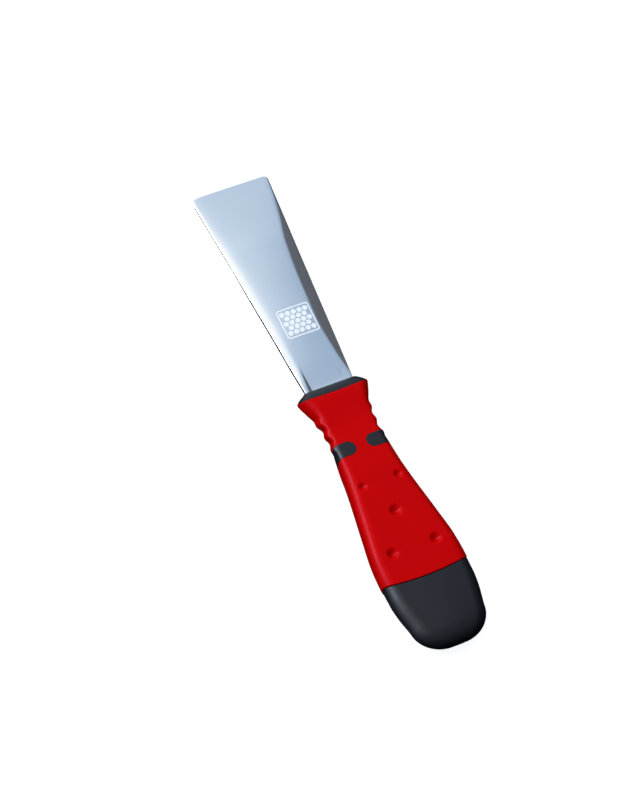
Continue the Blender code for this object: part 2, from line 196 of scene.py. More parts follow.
# How finely the surfaces are divided
CORNER_STEPS = 12
TOP_STEPS = 60
SIDE_STEPS = 8
EDGE_STEPS = 6
NECK_RINGS = 80
GRIP_RINGS = 170
INNER_RINGS = 24
INLAY_RINGS = 17
INLAY_STEPS = 24
POMMEL_RINGS = 40
SPIGOT_RINGS = 10
BUTT_STEPS = 28
BOLSTER_STEPS = 12
TANG_RINGS = 24
ROOT_RINGS = 20
BODY_RINGS = 130
GRIND_RINGS = 8
TIP_STEPS = 12
RIM_STEPS = 4
ACROSS_STEPS = 110
ROOM_ACROSS_STEPS = 24
ROOM_RINGS = 30
HOLE_SIDES = 32
MARK_CORNER_STEPS = 8
MARK_SIDE_STEPS = 16

# Shading creases and rounding of cut edges
CREASE = math.radians(40)
BLADE_CREASE = math.radians(30)
SHARP = math.radians(45)
MERGE = 0.03 * MM
SLIVER = 0.01 * MM
ROUND_SEGMENTS = 3

# Bolster and blade
BOLSTER_FRONT_X = 10.5 * MM
BOLSTER_FRONT_HALF_WIDTH = 11.8 * MM
BOLSTER_FRONT_HALF_HEIGHT = 2.7 * MM
BOLSTER_FRONT_ROUND = 2.2 * MM
BOLSTER_SWELL = 0.12
BOLSTER_EDGE = 0.5 * MM
BLADE_ROOM = 0.12 * MM
ROOM_PAST = 2 * MM
BLADE_THICK = 1.5 * MM
THICKNESSES = (
    (TIP_X, BLADE_THICK),
    (74.0 * MM, BLADE_THICK),
    (62.0 * MM, 1.9 * MM),
    (45.0 * MM, 2.15 * MM),
    (12.0 * MM, 2.3 * MM),
    (9.0 * MM, 2.3 * MM),
    (5.0 * MM, BLADE_THICK),
    (-70.0 * MM, BLADE_THICK),
)
EDGE_THICK = 0.5 * MM
EDGE_GRIND = 4.0 * MM
# Rounding of the blade's long edges, at most ROUND_SHARE of its thickness
ROUND_SHARE = 0.45
SIDE_ROUNDS = (
    (TIP_X, 0.40 * MM),
    (72 * MM, 0.40 * MM),
    (60 * MM, 0.14 * MM),
    (0.0, 0.14 * MM),
)
TIP_HALF_WIDTH = 17.5 * MM
ROOT_HALF_WIDTH = 10.6 * MM
CORNER_RADIUS = 2.0 * MM
BLADE_TILT = math.radians(2.5)
BEND_FRONT_X = 8.5 * MM
BEND_REAR_X = 1.0 * MM
BLADE_SHOULDER_X = 8.5 * MM
TANG_HALF_WIDTH = 5.2 * MM
TANG_START_X = 5.0 * MM
TANG_END_X = -68.0 * MM
# The blade's face folds down along both long edges, and arches between the folds
FLANK_SLOPE = math.tan(math.radians(17))
FLANK_SOFTNESS = 0.6 * MM
ARCH_SHARE = 0.10
FLANK_WIDTHS = (
    (TIP_X, 0.0),
    (104 * MM, 0.8 * MM),
    (92 * MM, 2.2 * MM),
    (80 * MM, 4.2 * MM),
    (62 * MM, 5.1 * MM),
    (42 * MM, 5.0 * MM),
    (26 * MM, 3.0 * MM),
    (12 * MM, 0.0),
)
# The flank on the +Y side is worn rounder and narrower
WORN_WIDTHS = (
    (TIP_X, 0.0),
    (104 * MM, 0.6 * MM),
    (92 * MM, 1.4 * MM),
    (80 * MM, 2.1 * MM),
    (62 * MM, 2.6 * MM),
    (42 * MM, 2.5 * MM),
    (26 * MM, 2.3 * MM),
    (12 * MM, 0.0),
)
WORN_SOFTNESS = (
    (TIP_X, 2.2 * MM),
    (62 * MM, 2.0 * MM),
    (42 * MM, 1.6 * MM),
    (26 * MM, 0.6 * MM),
    (12 * MM, 0.4 * MM),
)
# A ledge where the worn flank runs out at the bolster, and a small dent on the other side
LEDGE_START_X = 23.0 * MM
LEDGE_Y = 8.3 * MM
LEDGE_WIDTH = 2.4 * MM
LEDGE_HEIGHT = 0.65 * MM
DENT = (15.0 * MM, -7.4 * MM)
DENT_RADIUS = 1.5 * MM
DENT_DEPTH = 0.05 * MM
RIVET_XS = (-12 * MM, -35 * MM, -58 * MM)
RIVET_HOLE_RADIUS = 2.3 * MM

# Where the noise textures mostly lie
NOISE_LOW = 0.3
NOISE_HIGH = 0.7

# Etched mark on the blade: a frame with honeycomb cells
MARK_X = 42.3 * MM
MARK_HALF_LENGTH = 6.9 * MM
MARK_HALF_WIDTH = 7.2 * MM
MARK_CORNER = 1.2 * MM
MARK_LINE = 0.55 * MM
CELL_PITCH = 1.5 * MM
CELL_RADIUS = 1.2 * MM
CELL_ROWS = range(-2, 3)
CELLS_IN_EVEN_ROW = 5
MARK_PROUD = 0.02 * MM
MARK_DEPTH = 0.10 * MM

# Camera and light
VIEW_AZIMUTH = math.radians(147.45)
VIEW_ELEVATION = math.radians(59.82)
VIEW_ROLL = math.radians(9.21)
VIEW_TARGET = Vector((6.34 * MM, 4.64 * MM, 6.3 * MM))
VIEW_DISTANCE = 1.0567
LENS = 78.0
SENSOR_HEIGHT = 24.0
VIEW_END = 20.0

# Softboxes: azimuth and elevation in degrees, distance, size, power. The glint is seen only in
# reflections, and the fills only in diffuse light.
GLINT = (62, 28, 0.9, (0.42, 0.4), 6.0)
GLINT_COLOUR = (0.85, 0.95, 1.25)
FILLS = {
    "key_fill": (62, 52, 1.2, (0.6, 0.6), 6.8),
    "right_fill": (-70, 40, 1.2, (0.6, 0.6), 2.6),
}
FLOOR_HALF_SIZE = 6.0
FLOOR_GREY = 0.3
FLOOR_GLOW = 0.9

# Studio light by the cosine to the key side. It fades to BELOW_HORIZON over HORIZON's heights.
KEY_SIDE = Vector((0.60, 0.55, 0.58))
HORIZON = (-0.45, 0.10)
BELOW_HORIZON = 0.06
STUDIO_PEAK = 1.5
STUDIO = (
    (-0.60, (0.004, 0.004, 0.005)),
    (-0.10, (0.05, 0.055, 0.06)),
    (0.06, (0.14, 0.14, 0.155)),
    (0.22, (0.14, 0.15, 0.17)),
    (0.42, (0.41, 0.53, 0.68)),
    (0.51, (0.43, 0.55, 0.69)),
    (0.59, (0.555, 0.665, 0.80)),
    (0.65, (0.67, 0.78, 0.90)),
    (0.70, (0.76, 0.86, 0.96)),
    (0.80, (0.93, 1.01, 1.08)),
    (0.885, (1.25, 1.22, 1.17)),
    (0.96, (1.45, 1.42, 1.36)),
)


# Curves and sections of the design


@functools.lru_cache(maxsize=None)
def smooth(points, x):
    """A monotone cubic through (x, value) points that run from high x to low x."""
    xs = np.array([p[0] for p in points][::-1])
    ys = np.array([p[1] for p in points][::-1])
    x = min(max(x, xs[0]), xs[-1])
    step = np.diff(xs)
    slope = np.diff(ys) / step
    tangent = np.zeros(len(xs))
    for i in range(1, len(xs) - 1):
        if slope[i - 1] * slope[i] > 0:
            tangent[i] = 2 * slope[i - 1] * slope[i] / (slope[i - 1] + slope[i])
    tangent[0] = slope[0]
    tangent[-1] = slope[-1]
    i = min(int(np.searchsorted(xs, x, side="right")) - 1, len(xs) - 2)
    t = (x - xs[i]) / step[i]
    value = (2 * t**3 - 3 * t**2 + 1) * ys[i] + (3 * t**2 - 2 * t**3) * ys[i + 1]
    value += (t**3 - 2 * t**2 + t) * step[i] * tangent[i]
    value += (t**3 - t**2) * step[i] * tangent[i + 1]
    return float(value)


def ease(share):
    """From 0 to 1 with level ends as share goes from 0 to 1."""
    t = min(max(share, 0.0), 1.0)
    return t * t * (3 - 2 * t)


def rounded_end(x, full, end, reach):
    """full, drawn in to end at the butt along a quarter of an ellipse of length reach."""
    t = min(max((BUTT_X + reach - x) / reach, 0.0), 1.0)
    return end + (full - end) * math.sqrt(1 - t * t)


def rib(x, z):
    """Height of the finger ribs at x, and z from the mid plane."""
    t = (RIB_FRONT_X - RIB_LEAN * z - x) / RIB_PITCH
    return RIB_HEIGHT * math.sin(math.pi * t) ** 2 if 0 < t < RIB_COUNT else 0.0


def half_width(x):
    return rounded_end(x, smooth(HALF_WIDTHS, x), BUTT_HALF_WIDTH, BUTT_ROUND_WIDE)


def half_height(x):
    return rounded_end(x, smooth(HALF_HEIGHTS, x), BUTT_HALF_HEIGHT, BUTT_ROUND_TALL)


def section(wide, tall, round_, upper=0.0, lower=0.0):
    """(y, z) round a rectangle of half sizes wide and tall, drawn in towards its ellipse."""
    round_ = min(round_, wide * MOST_ROUND, tall * MOST_ROUND)
    points = []
    for quarter in range(4):
        side_y = 1 if quarter in (0, 3) else -1
        side_z = 1 if quarter in (0, 1) else -1
        for i in range(CORNER_STEPS + 1):
            angle = (quarter + i / CORNER_STEPS) * math.pi / 2
            y = side_y * (wide - round_) + round_ * math.cos(angle)
            z = side_z * (tall - round_) + round_ * math.sin(angle)
            points.append((y, z))
        steps = TOP_STEPS if quarter in (0, 2) else SIDE_STEPS
        y, z = points[-1]
        for i in range(1, steps):
            if quarter in (0, 2):
                points.append((y * (1 - 2 * i / steps), z))
            else:
                points.append((y, z * (1 - 2 * i / steps)))
    made = []
    for y, z in points:
        ellipse = lower + (upper - lower) * ease((z / tall + 1) / 2)
        share = 1 + ellipse * (1 / math.hypot(y / wide, z / tall) - 1)
        made.append((y * share, z * share))
    return made


def handle_section(x, inset, ribs):
    """The handle's upright section at x as (y, z), with the finger ribs if ribs is set."""
    wide = half_width(x) - inset
    tall = half_height(x) - inset
    round_ = max(smooth(SHOULDERS, x) - inset, LEAST_SHOULDER)
    points = section(wide, tall, round_, smooth(UPPER_ROUNDNESS, x), smooth(LOWER_ROUNDNESS, x))
    if not ribs:
        return points
    fades = [1 - ease((abs(z) / tall - RIB_FULL) / (1 - RIB_FULL)) for _, z in points]
    return [(y + math.copysign(rib(x, z) * fade, y), z) for (y, z), fade in zip(points, fades)]


def handle_ring(x, skew, inset=0.0, ribs=False):
    """A ring on the handle's surface, cut at x with the given skew and drawn in by inset."""
    bow, lean = skew
    first = handle_section(x, inset, ribs)
    if skew == SQUARE:
        return [(x, y, MID_Z + z) for y, z in first]
    widest = max(y for y, _ in first)
    ring = []
    for i, (y, z) in enumerate(first):
        place = x - bow * (1 - (y / widest) ** 2) - lean * (math.hypot(z, LEAN_ROUND) - LEAN_ROUND)
        y, z = handle_section(place, inset, ribs)[i]
        ring.append((place, y, MID_Z + z))
    return ring


def stations(front, rear, front_skew, rear_skew, count):
    """Places and skews of count cuts from front to rear."""
    for i in range(count):
        t = i / (count - 1)
        skew = tuple(a + (b - a) * t for a, b in zip(front_skew, rear_skew))
        yield front + (rear - front) * t, skew


def join(bm, a, b):
    """Adds the faces between two loops of vertices."""
    for i in range(len(a)):
        j = (i + 1) % len(a)
        bm.faces.new((a[i], a[j], b[j], b[i]))


def bridge(bm, rings, closed=False):
    """Skins rings in order, and either caps both ends or, if closed, joins the last to the first."""
    loops = [[bm.verts.new(point) for point in ring] for ring in rings]
    for a, b in zip(loops, loops[1:]):
        join(bm, a, b)
    if closed:
        join(bm, loops[-1], loops[0])
    else:
        bm.faces.new(loops[0][::-1])
        bm.faces.new(loops[-1])


def add_piece(name, bm, mat=None, crease=CREASE):
    bmesh.ops.recalc_face_normals(bm, faces=bm.faces)
    mesh = bpy.data.meshes.new(name)
    bm.to_mesh(mesh)
    bm.free()
    obj = bpy.data.objects.new(name, mesh)
    bpy.context.scene.collection.objects.link(obj)
    if mat is not None:
        mesh.materials.append(mat)
    mesh.shade_smooth()
    mesh.set_sharp_from_angle(angle=crease)
    return obj


def swayed(obj):
    """Moves each point sideways by SWAY at its place along the tool."""
    for vertex in obj.data.vertices:
        vertex.co.y -= smooth(SWAY, vertex.co.x)


def combine(obj, other, operation):
    """Applies a Boolean with other, and removes other."""
    modifier = obj.modifiers.new("cut", "BOOLEAN")
    modifier.operation = operation
    modifier.object = other
    graph = bpy.context.evaluated_depsgraph_get()
    made = bpy.data.meshes.new_from_object(obj.evaluated_get(graph))
    obj.modifiers.clear()
    obj.data = made
    bpy.data.objects.remove(other)


def soften(obj, chosen, width):
    """Rounds the sharp edges whose middle point chosen accepts."""
    bm = bmesh.new()
    bm.from_mesh(obj.data)
    bmesh.ops.remove_doubles(bm, verts=bm.verts, dist=MERGE)
    bmesh.ops.dissolve_degenerate(bm, edges=bm.edges, dist=SLIVER)
    edges = []
    for edge in bm.edges:
        if len(edge.link_faces) == 2 and edge.calc_face_angle(0.0) > SHARP:
            if chosen((edge.verts[0].co + edge.verts[1].co) / 2):
                edges.append(edge)
    bmesh.ops.bevel(
        bm,
        geom=edges,
        offset=width,
        offset_type="OFFSET",
        segments=ROUND_SEGMENTS,
        profile=0.5,
        affect="EDGES",
        clamp_overlap=True,
    )
    bm.to_mesh(obj.data)
    bm.free()
    obj.data.shade_smooth()
    obj.data.set_sharp_from_angle(angle=CREASE)


# Blade


def blade_line(x):
    """Height of the blade's middle line over the mid plane: level, bent, then tilted up."""
    if x <= BEND_REAR_X:
        return 0.0
    bend = BEND_FRONT_X - BEND_REAR_X
    if x >= BEND_FRONT_X:
        return math.tan(BLADE_TILT) * (x - BEND_FRONT_X + bend / 2)
    return math.tan(BLADE_TILT) * (x - BEND_REAR_X) ** 2 / (2 * bend)


def blade_half_width(x):
    if x <= TANG_START_X:
        return TANG_HALF_WIDTH
    if x < BLADE_SHOULDER_X:
        t = (x - TANG_START_X) / (BLADE_SHOULDER_X - TANG_START_X)
        return TANG_HALF_WIDTH + (ROOT_HALF_WIDTH - TANG_HALF_WIDTH) * math.sin(t * math.pi / 2)
    t = max(x - BOLSTER_FRONT_X, 0.0) / (TIP_X - BOLSTER_FRONT_X)
    width = ROOT_HALF_WIDTH + (TIP_HALF_WIDTH - ROOT_HALF_WIDTH) * t
    past = x - (TIP_X - CORNER_RADIUS)
    if past > 0:
        width += math.sqrt(max(CORNER_RADIUS**2 - past**2, 0.0)) - CORNER_RADIUS
    return width


def flank_drop(over, softness):
    """How far a flank has folded down at a distance over past its fold line."""
    return FLANK_SLOPE * (over + math.hypot(over, softness)) / 2


def blade_crown(x, y):
    """Height of the blade's face at x, y over the level of its long edges."""
    width = smooth(FLANK_WIDTHS, x)
    wide = blade_half_width(x)
    crest = flank_drop(width, FLANK_SOFTNESS) - flank_drop(width - wide, FLANK_SOFTNESS)
    fold = smooth(WORN_WIDTHS, x) - wide if y > 0 else width - wide
    softness = smooth(WORN_SOFTNESS, x) if y > 0 else FLANK_SOFTNESS
    fall = flank_drop(fold + abs(y), softness) - flank_drop(fold, softness)
    crown = ARCH_SHARE * width * (1 - (y / wide) ** 2) + crest - fall
    if x < LEDGE_START_X:
        run = min((LEDGE_START_X - x) / (LEDGE_START_X - BOLSTER_FRONT_X), 1.0)
        share = (y - LEDGE_Y) / (LEDGE_WIDTH * run) + 0.5
        crown += LEDGE_HEIGHT * run * ease(share)
    dent = math.hypot(x - DENT[0], y - DENT[1]) / DENT_RADIUS
    return crown - DENT_DEPTH * ease(1 - dent)


def blade_face(x, y):
    """Height of the blade's upper face at x, y."""
    return MID_Z + blade_line(x) + BLADE_THICK / 2 + blade_crown(x, y)


def blade_thickness(x):
    """The blade's thickness at x, ground down at its cutting edge."""
    t = min(max((TIP_X - x) / EDGE_GRIND, 0.0), 1.0)
    return EDGE_THICK + (smooth(THICKNESSES, x) - EDGE_THICK) * t


def blade_ring(x, spare=0.0, across=ACROSS_STEPS):
    """A ring round the blade at x, spare outside its surface, its long edges rounded."""
    wide = blade_half_width(x) + spare
    thick = blade_thickness(x) + 2 * spare
    round_ = min(smooth(SIDE_ROUNDS, x), thick * ROUND_SHARE)
    flat = wide - round_
    upper = []
    lower = []
    for i in range(across + 1):
        y = flat * (2 * i / across - 1)
        z = blade_face(x, y) + spare
        upper.append((x, y, z))
        lower.append((x, y, z - thick))
    sides = []
    for side in (1, -1):
        top = blade_face(x, side * wide) + spare
        rim = []
        for i in range(1, RIM_STEPS + 1):
            angle = i * math.pi / (2 * RIM_STEPS)
            out = flat + round_ * math.sin(angle)
            rim.append((x, side * out, top - round_ * (1 - math.cos(angle))))
        for i in range(RIM_STEPS, -1, -1):
            angle = i * math.pi / (2 * RIM_STEPS)
            out = flat + round_ * math.sin(angle)
            rim.append((x, side * out, top - thick + round_ * (1 - math.cos(angle))))
        sides.append(rim)
    right, left = sides
    return [*upper, *right, *lower[::-1][1:-1], *left[::-1]]


def build_blade(steel):
    """The blade and its tang in one piece, with the tang's rivet holes."""
    tang = np.linspace(TANG_END_X, BEND_REAR_X, TANG_RINGS)
    root = np.linspace(BEND_REAR_X, BOLSTER_FRONT_X, ROOT_RINGS)[1:]
    body = np.linspace(BOLSTER_FRONT_X, TIP_X - EDGE_GRIND, BODY_RINGS)[1:]
    grind = np.linspace(TIP_X - EDGE_GRIND, TIP_X - CORNER_RADIUS, GRIND_RINGS)[1:-1]
    turns = [i * math.pi / (2 * TIP_STEPS) for i in range(TIP_STEPS + 1)]
    corner = [TIP_X - CORNER_RADIUS * (1 - math.sin(turn)) for turn in turns]
    bm = bmesh.new()
    bridge(bm, [blade_ring(x) for x in (*tang, *root, *body, *grind, *corner)])
    blade = add_piece("polished_blade", bm, steel, BLADE_CREASE)
    for x in RIVET_XS:
        bm = bmesh.new()
        place = Matrix.Translation((x, 0, MID_Z))
        bmesh.ops.create_cone(
            bm,
            cap_ends=True,
            segments=HOLE_SIDES,
            radius1=RIVET_HOLE_RADIUS,
            radius2=RIVET_HOLE_RADIUS,
            depth=4 * BLADE_THICK,
            matrix=place,
        )
        combine(blade, add_piece("hole", bm), "DIFFERENCE")
    blade.data.set_sharp_from_angle(angle=BLADE_CREASE)
    swayed(blade)
    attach(blade, "root")
    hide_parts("blade")


def mark_frame(inset):
    """A round-cornered rectangle round the middle of the etched mark, as (x, y) points."""
    radius = MARK_CORNER - inset
    length = MARK_HALF_LENGTH - MARK_CORNER
    width = MARK_HALF_WIDTH - MARK_CORNER
    corners = ((length, width), (-length, width), (-length, -width), (length, -width))
    points = []
    for quarter, (x, y) in enumerate(corners):
        for i in range(MARK_CORNER_STEPS + 1):
            angle = (quarter + i / MARK_CORNER_STEPS) * math.pi / 2
            points.append((x + radius * math.cos(angle), y + radius * math.sin(angle)))
        ahead = corners[(quarter + 1) % 4]
        start = points[-1]
        turn = (quarter + 1) * math.pi / 2
        end = (ahead[0] + radius * math.cos(turn), ahead[1] + radius * math.sin(turn))
        for i in range(1, MARK_SIDE_STEPS):
            t = i / MARK_SIDE_STEPS
            points.append((start[0] + (end[0] - start[0]) * t, start[1] + (end[1] - start[1]) * t))
    return points


def honeycomb():
    """Middles of the cells that fill the mark's frame, in rows across the blade."""
    for row in CELL_ROWS:
        cells = CELLS_IN_EVEN_ROW - row % 2
        for i in range(cells):
            yield 1.5 * CELL_PITCH * row, math.sqrt(3) * CELL_PITCH * (i - (cells - 1) / 2)


def build_mark(etching):
    """The etched mark, as thin plates that follow the blade's face: a frame filled with honeycomb."""
    bm = bmesh.new()

    def plate(outline, level):
        made = []
        for x, y in outline:
            place = MARK_X + x
            made.append(bm.verts.new((place, y, blade_face(place, y) + level)))
        return made

    levels = (MARK_PROUD, -MARK_DEPTH)
    loops = [plate(mark_frame(0.0), level) for level in levels]
    loops += [plate(mark_frame(MARK_LINE), level) for level in levels[::-1]]
    for a, b in zip(loops, loops[1:] + loops[:1]):
        join(bm, a, b)
    for x, y in honeycomb():
        hexagon = []
        for i in range(6):
            angle = i * math.pi / 3
            hexagon.append((x + CELL_RADIUS * math.cos(angle), y + CELL_RADIUS * math.sin(angle)))
        top, bottom = (plate(hexagon, level) for level in levels)
        bm.faces.new(top)
        bm.faces.new(bottom[::-1])
        join(bm, bottom, top)
    mark = add_piece("blade_etching", bm, etching)
    swayed(mark)
    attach(mark, "root")


# Handle


def dimple_share(along, across):
    """From 0 at the deepest point, which lies DIMPLE_SHIFT to one side, to 1 on the unit circle."""
    across -= DIMPLE_SHIFT
    room = 1 - DIMPLE_SHIFT**2
    reach = DIMPLE_SHIFT * across
    return (reach + math.sqrt(reach**2 + room * (along**2 + across**2))) / room


def dimple_depth(x, y):
    """How deep the face of the grip is pressed in at x, y."""
    depth = 0.0
    for centre_x, centre_y, mouth in DIMPLES:
        for side in (-1, 1):
            away = dimple_share((x - centre_x) / mouth, (y - side * centre_y) / mouth)
            share = ease((1.0 - away) / (1.0 - DIMPLE_FLOOR))
            depth = max(depth, DIMPLE_DEPTH * min(mouth / DIMPLE_FULL, 1.0) * share)
    return depth


def dimpled(ring):
    """The ring with the dimples pressed into its upper and lower face."""
    made = []
    for x, y, z in ring:
        level = abs(z - MID_Z)
        if level > half_height(x) - FACE_DEPTH:
            z = MID_Z + math.copysign(level - dimple_depth(x, y), z - MID_Z)
        made.append((x, y, z))
    return made


def rounded_rim(x, skew, towards, inset, ribs):
    """Rings that roll the surface over by EDGE_ROUND at an end; towards is +1 or -1 along X."""
    for i in range(1, EDGE_STEPS + 1):
        angle = i * math.pi / (2 * EDGE_STEPS)
        place = x + towards * EDGE_ROUND * math.sin(angle)
        yield handle_ring(place, skew, inset + EDGE_ROUND * (1 - math.cos(angle)), ribs)


def inlay_centre(side):
    """Distance from the centre line to the middle of an inlay's round end."""
    return INLAY_INNER_YS[side] + INLAY_WIDTH / 2


def inlay_prism(side, spare):
    """An upright prism, spare outside an inlay's outline, that reaches out past the handle."""
    radius = INLAY_WIDTH / 2 + spare
    centre_y = inlay_centre(side)
    outline = []
    for i in range(INLAY_STEPS + 1):
        angle = math.pi * i / INLAY_STEPS
        outline.append((math.cos(angle) * radius, centre_y - math.sin(angle) * radius))
    outline += [(-radius, CUT_HALF_WIDTH), (radius, CUT_HALF_WIDTH)]
    rings = []
    for z in (MID_Z - CUT_HALF_HEIGHT, MID_Z + CUT_HALF_HEIGHT):
        rings.append([(INLAY_X + x, side * y, z) for x, y in outline])
    bm = bmesh.new()
    bridge(bm, rings)
    return add_piece("inlay_prism", bm)


def near_inlay_edge(spare):
    """Accepts points on the wall of either inlay prism."""
    radius = INLAY_WIDTH / 2 + spare

    def accepts(point):
        y = abs(point.y)
        centre_y = inlay_centre(1 if point.y > 0 else -1)
        if y > centre_y:
            away = abs(point.x - INLAY_X)
        else:
            away = math.hypot(point.x - INLAY_X, y - centre_y)
        return abs(away - radius) < CUT_NEAR

    return accepts


def build_sleeve(rubber):
    """The red sleeve from the lip to the seam, with rounded ends and room for the inlays."""
    front = LIP_X - EDGE_ROUND
    rear = SEAM_X + EDGE_ROUND
    lip = list(rounded_rim(front, LIP_SKEW, 1, 0.0, True))[::-1]
    neck = [
        handle_ring(x, skew, 0.0, True)
        for x, skew in stations(front, NECK_END_X, LIP_SKEW, SQUARE, NECK_RINGS)
    ]
    grip = [
        dimpled(handle_ring(x, skew, 0.0, True))
        for x, skew in stations(NECK_END_X - NECK_STEP, rear, SQUARE, SEAM_SKEW, GRIP_RINGS)
    ]
    seam = list(rounded_rim(rear, SEAM_SKEW, -1, 0.0, False))
    inner = [
        handle_ring(x, skew, WALL)
        for x, skew in stations(LIP_X, SEAM_X, LIP_SKEW, SEAM_SKEW, INNER_RINGS)
    ]
    bm = bmesh.new()
    bridge(bm, [*lip, *neck, *grip, *seam, *inner[::-1]], closed=True)
    sleeve = add_piece("soft_grip", bm, rubber)
    for side in (-1, 1):
        combine(sleeve, inlay_prism(side, 0.0), "DIFFERENCE")
    soften(sleeve, near_inlay_edge(0.0), INLAY_ROOM_EDGE)
    swayed(sleeve)
    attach(sleeve, "root")
    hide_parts("grip_sleeve")


def build_inlays(plastic):
    """The two black bands, cut from a stretch of the handle's surface that stands a little proud."""
    front = INLAY_X + INLAY_WIDTH
    rear = INLAY_X - INLAY_WIDTH
    for side, node, name in ((1, "left_inlay", "left_band"), (-1, "right_inlay", "right_band")):
        places = np.linspace(front, rear, INLAY_RINGS)
        outer = [handle_ring(x, SQUARE, -INLAY_PROUD, True) for x in places]
        inner = [handle_ring(x, SQUARE, WALL) for x in places]
        bm = bmesh.new()
        bridge(bm, [*outer, *inner[::-1]], closed=True)
        band = add_piece(name, bm, plastic)
        combine(band, inlay_prism(side, -INLAY_GAP), "INTERSECT")
        soften(band, near_inlay_edge(-INLAY_GAP), INLAY_EDGE)
        swayed(band)
        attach(band, "root")
        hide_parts(node)


def build_pommel(plastic):
    """The black end cap, a step below the grip's surface, with its room for the core's spigot."""
    seam = SEAM_X - JOINT_GAP
    front = seam - EDGE_ROUND
    rim = list(rounded_rim(front, SEAM_SKEW, 1, SEAM_STEP, False))[::-1]
    places = list(stations(front, BUTT_X + BUTT_ROUND_WIDE, SEAM_SKEW, SQUARE, POMMEL_RINGS))
    for i in range(1, BUTT_STEPS + 1):
        angle = i * math.pi / (2 * BUTT_STEPS)
        places.append((BUTT_X + BUTT_ROUND_WIDE * (1 - math.sin(angle)), SQUARE))
    outer = [*rim, *(handle_ring(x, skew, SEAM_STEP) for x, skew in places)]
    room = stations(seam, SPIGOT_END_X - GAP, SEAM_SKEW, SQUARE, SPIGOT_RINGS)
    inner = [handle_ring(x, skew, WALL) for x, skew in room]
    bm = bmesh.new()
    bridge(bm, [*outer[::-1], *inner])
    cap = add_piece("pommel_shell", bm, plastic)
    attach(cap, "root")
    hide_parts("pommel_cap")


def bolster_face(inset):
    """The outline of the bolster's front end, drawn in by inset."""
    front_z = MID_Z + blade_line(BOLSTER_FRONT_X)
    wide = BOLSTER_FRONT_HALF_WIDTH - inset
    tall = BOLSTER_FRONT_HALF_HEIGHT - inset
    outline = section(wide, tall, BOLSTER_FRONT_ROUND)
    return [(BOLSTER_FRONT_X, y, front_z + z) for y, z in outline]


def build_bolster(plastic):
    """The black collar, which swells from its front end to the lip and reaches into the sleeve."""
    front = bolster_face(0.0)
    lip_x = LIP_X + JOINT_GAP
    rim = handle_ring(lip_x, LIP_SKEW, LIP_STEP)
    rings = [bolster_face(BOLSTER_EDGE)]
    for i in range(1, BOLSTER_STEPS + 1):
        t = i / BOLSTER_STEPS
        out = t + BOLSTER_SWELL * math.sin(math.pi * t)
        ring = []
        for a, b in zip(front, rim):
            ring.append((a[0] + (b[0] - a[0]) * t, a[1] + (b[1] - a[1]) * out, a[2] + (b[2] - a[2]) * out))
        rings.append(ring)
    rings.append(handle_ring(lip_x, LIP_SKEW, WALL + GAP))
    rings.append(handle_ring(GAP, SQUARE, WALL + GAP))
    bm = bmesh.new()
    bridge(bm, rings)
    collar = add_piece("bolster_collar", bm, plastic)
    bm = bmesh.new()
    places = np.linspace(-ROOM_PAST, BOLSTER_FRONT_X + ROOM_PAST, ROOM_RINGS)
    bridge(bm, [blade_ring(x, BLADE_ROOM, ROOM_ACROSS_STEPS) for x in places])
    combine(collar, add_piece("blade_room", bm), "DIFFERENCE")
    collar.data.set_sharp_from_angle(angle=CREASE)
    swayed(collar)
    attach(collar, "root")
    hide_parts("bolster")


# Materials


def new_material(name, colour, roughness, metallic=0.0):
    """A material, its node tree and its Principled shader, set to plain values."""
    made = bpy.data.materials.new(name)
    made.use_nodes = True
    shader = made.node_tree.nodes["Principled BSDF"]
    shader.inputs["Base Color"].default_value = (*colour, 1.0)
    shader.inputs["Roughness"].default_value = roughness
    shader.inputs["Metallic"].default_value = metallic
    return made, made.node_tree, shader


def noise(tree, scale, detail, stretch=(1.0, 1.0, 1.0)):
    """The factor of a noise texture in object space, scale in cells per metre."""
    place = tree.nodes.new("ShaderNodeTexCoord")
    mapping = tree.nodes.new("ShaderNodeMapping")
    mapping.inputs["Scale"].default_value = stretch
    texture = tree.nodes.new("ShaderNodeTexNoise")
    texture.inputs["Scale"].default_value = scale
    texture.inputs["Detail"].default_value = detail
    tree.links.new(place.outputs["Object"], mapping.inputs["Vector"])
    tree.links.new(mapping.outputs["Vector"], texture.inputs["Vector"])
    return texture.outputs["Fac"]


def ranged(tree, value, low, high):
    """The noise value, spread over low to high."""
    node = tree.nodes.new("ShaderNodeMapRange")
    node.inputs["From Min"].default_value = NOISE_LOW
    node.inputs["From Max"].default_value = NOISE_HIGH
    node.inputs["To Min"].default_value = low
    node.inputs["To Max"].default_value = high
    tree.links.new(value, node.inputs["Value"])
    return node.outputs["Result"]


def blended(tree, factor, one, two):
    """A colour between one and two."""
    node = tree.nodes.new("ShaderNodeMix")
    node.data_type = "RGBA"
    node.inputs["A"].default_value = (*one, 1.0)
    node.inputs["B"].default_value = (*two, 1.0)
    tree.links.new(factor, node.inputs["Factor"])
    return node.outputs["Result"]


def bumped(tree, shader, height, strength, distance):
    """Gives the shader a bump of the given depth."""
    node = tree.nodes.new("ShaderNodeBump")
    node.inputs["Strength"].default_value = strength
    node.inputs["Distance"].default_value = distance
    tree.links.new(height, node.inputs["Height"])
    tree.links.new(node.outputs["Normal"], shader.inputs["Normal"])


def steel_material():
    """Bright steel with fine polishing lines along the blade."""
    made, tree, shader = new_material("polished_steel", (0.76, 0.80, 0.85), 0.14, 1.0)
    lines = noise(tree, 900, 4.0, (0.05, 1.0, 1.0))
    smears = noise(tree, 60, 2.0)
    tree.links.new(ranged(tree, lines, 0.10, 0.20), shader.inputs["Roughness"])
    tint = blended(tree, smears, (0.75, 0.79, 0.84), (0.78, 0.82, 0.87))
    tree.links.new(tint, shader.inputs["Base Color"])
    bumped(tree, shader, lines, 0.05, 0.02 * MM)
    return made


